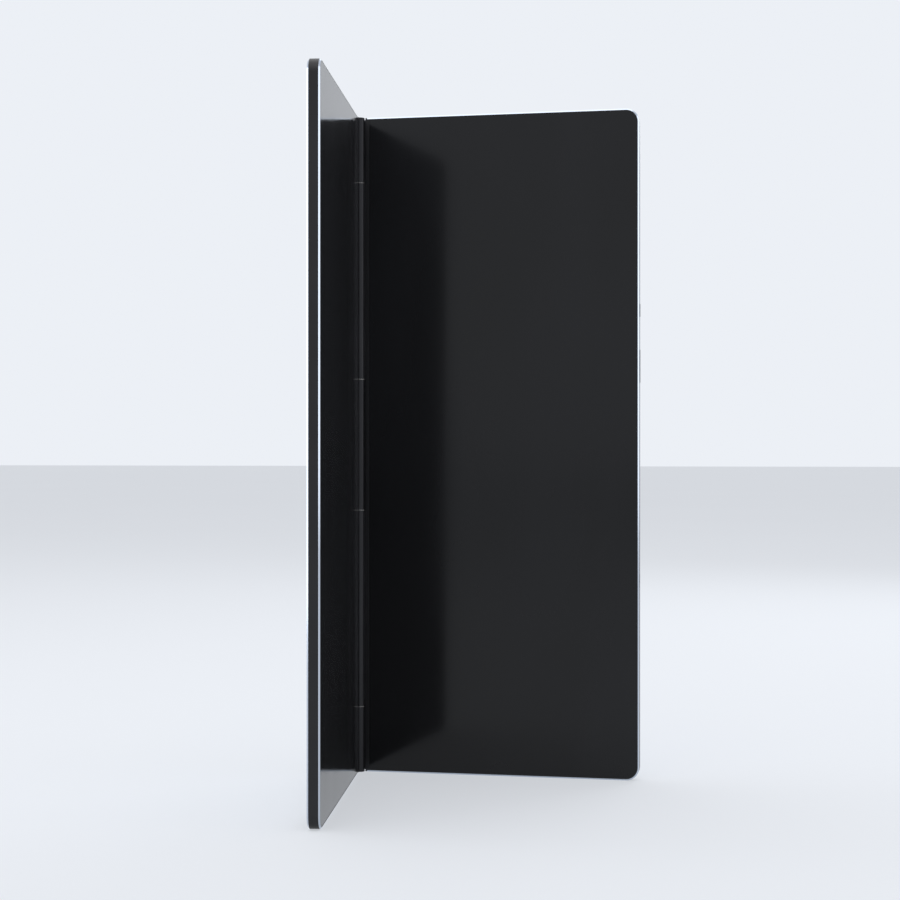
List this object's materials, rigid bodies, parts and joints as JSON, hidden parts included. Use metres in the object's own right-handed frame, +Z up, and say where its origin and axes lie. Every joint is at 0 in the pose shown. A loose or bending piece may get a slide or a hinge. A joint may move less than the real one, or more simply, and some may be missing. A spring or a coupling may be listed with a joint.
{
  "type": "folding led panel light",
  "caption": "Slim two-leaf LED panel light, hinged like a book on a friction hinge: gloss dark inner faces, opal lit outer faces, controls and charging inlet in the free edge.",
  "frame": {"origin": "mouth of the stand socket, in the middle of the main leaf's bottom edge", "axes": "+Z up along the leaves; +X along the main leaf from the hinge to its free edge; -Y is the way its dark inner face looks"},
  "size_m": [0.2669, 0.2661, 0.6],
  "materials": {
    "rail_metal": "satin black anodised look",
    "gloss_black": "gloss",
    "satin_black": "satin",
    "opal": "opal, satin",
    "spreader": "mill",
    "white_film": "matt white",
    "clear_guide": "clear acrylic",
    "screw_steel": "dark steel",
    "bar_white": "white solder mask",
    "emitter": "phosphor",
    "cell_foil": "foil pouch",
    "board_green": "solder mask",
    "component_black": "moulded",
    "brass_post": "turned",
    "lead_red": "insulated",
    "lead_black": "insulated",
    "spring_steel": "spring temper",
    "cap_black": "satin",
    "washer_nylon": "natural",
    "button_black": "satin",
    "port_shell": "drawn"
  },
  "bodies": {
    "main_leaf": {"main_battery_cells": "cell_foil", "main_bezel": "satin_black", "main_bezel_screws": "screw_steel", "main_board": "board_green", "main_board_parts": "component_black", "main_board_screws": "screw_steel", "main_board_spacers": "brass_post", "main_cover": "gloss_black", "main_diffuser_film": "white_film", "main_frame": "rail_metal", "main_hinge_lead": "lead_black", "main_hinge_leaf": "rail_metal", "main_hinge_screws": "screw_steel", "main_led_chips": "emitter", "main_led_strips": "bar_white", "main_light_guide": "clear_guide", "main_mid_plate": "spreader", "main_opal_window": "opal", "main_reflector": "white_film", "main_strip_leads": "lead_red", "hinge_pins": "screw_steel", "hinge_washers": "washer_nylon", "rocker_pin": "screw_steel", "push_switches": "component_black", "charge_port": "port_shell", "port_tongue": "component_black", "light_pipe": "clear_guide"},
    "wing_leaf": {"wing_battery_cells": "cell_foil", "wing_bezel": "satin_black", "wing_bezel_screws": "screw_steel", "wing_board": "board_green", "wing_board_parts": "component_black", "wing_board_screws": "screw_steel", "wing_board_spacers": "brass_post", "wing_cover": "gloss_black", "wing_diffuser_film": "white_film", "wing_frame": "rail_metal", "wing_hinge_lead": "lead_black", "wing_hinge_leaf": "rail_metal", "wing_hinge_screws": "screw_steel", "wing_led_chips": "emitter", "wing_led_strips": "bar_white", "wing_light_guide": "clear_guide", "wing_mid_plate": "spreader", "wing_opal_window": "opal", "wing_reflector": "white_film", "wing_strip_leads": "lead_red", "friction_sleeves": "spring_steel", "barrel_plugs": "cap_black"},
    "power_button": {"power_button": "button_black"},
    "dimmer_rocker": {"dimmer_rocker": "button_black"}
  },
  "joints": [
    {"name": "leaf_hinge", "type": "hinge", "parent": "main_leaf", "child": "wing_leaf", "pos_m": [-0.128, -0.00565, 0.3], "axis": [0, 0, 1], "range_deg": [-97, 83]},
    {"name": "power_press", "type": "slide", "parent": "main_leaf", "child": "power_button", "axis": [-1, 0, 0], "range_m": [0, 0.0005], "stiffness_N_per_m": 2000},
    {"name": "dimmer_rock", "type": "hinge", "parent": "main_leaf", "child": "dimmer_rocker", "pos_m": [0.1251, 0, 0.37], "axis": [0, 1, 0], "range_deg": [-2.5, 2.5], "stiffness_Nm_per_rad": 0.5}
  ]
}
